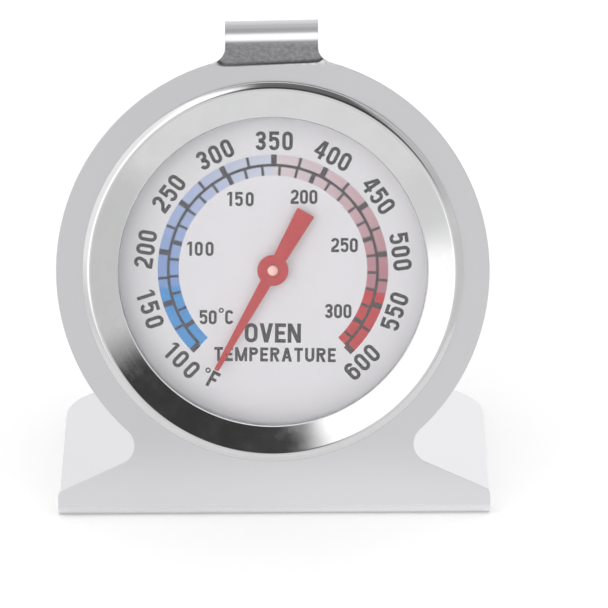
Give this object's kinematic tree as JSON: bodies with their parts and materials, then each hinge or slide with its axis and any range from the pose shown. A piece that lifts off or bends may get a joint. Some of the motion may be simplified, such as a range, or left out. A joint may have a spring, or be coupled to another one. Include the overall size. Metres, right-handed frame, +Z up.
{
  "type": "oven thermometer",
  "caption": "Dial oven thermometer: a round bimetal gauge in a leaning stamped steel stand with a rack hook on top and a folded foot behind.",
  "frame": {"origin": "centre of the footprint on the surface it stands on", "axes": "+Z up; the dial looks towards -Y and 20 degrees upwards; +X is to the right as the dial is read"},
  "size_m": [0.06, 0.0396, 0.0633],
  "materials": {
    "stand_steel": "satin stainless sheet, fine grain",
    "bezel_chrome": "polished",
    "case_steel": "drawn, satin",
    "inner_steel": "plain stamped",
    "window_glass": "clear, polished",
    "gasket_rubber": "matte silicone",
    "dial_paint": "smooth off-white enamel with printed scales",
    "pointer_paint": "smooth red enamel",
    "brass_turned": "turned",
    "bimetal": "rolled strip",
    "staff_metal": "turned, coppery"
  },
  "bodies": {
    "case": {"stand_plate": "stand_steel", "bezel_ring": "bezel_chrome", "glass_gasket": "gasket_rubber", "front_glass": "window_glass", "spacer_ring": "inner_steel", "dial_plate": "dial_paint", "mount_plate": "inner_steel", "case_can": "case_steel", "clamp_ring": "case_steel", "movement_bridge": "inner_steel", "bridge_rivets": "brass_turned", "front_bush": "brass_turned", "rear_bush": "brass_turned", "anchor_post": "brass_turned", "bimetal_coil": "bimetal"},
    "pointer": {"pointer": "pointer_paint", "pointer_bush": "brass_turned", "staff": "staff_metal", "coil_collet": "brass_turned", "thrust_washers": "inner_steel", "staff_clip": "inner_steel"}
  },
  "joints": [
    {"name": "pointer_turn", "type": "hinge", "parent": "case", "child": "pointer", "pos_m": [0, -0.00861, 0.03228], "axis": [0, 0.9397, -0.342], "range_deg": [-20, 290], "stiffness_Nm_per_rad": 0.00005, "deforming": ["bimetal_coil"]}
  ]
}
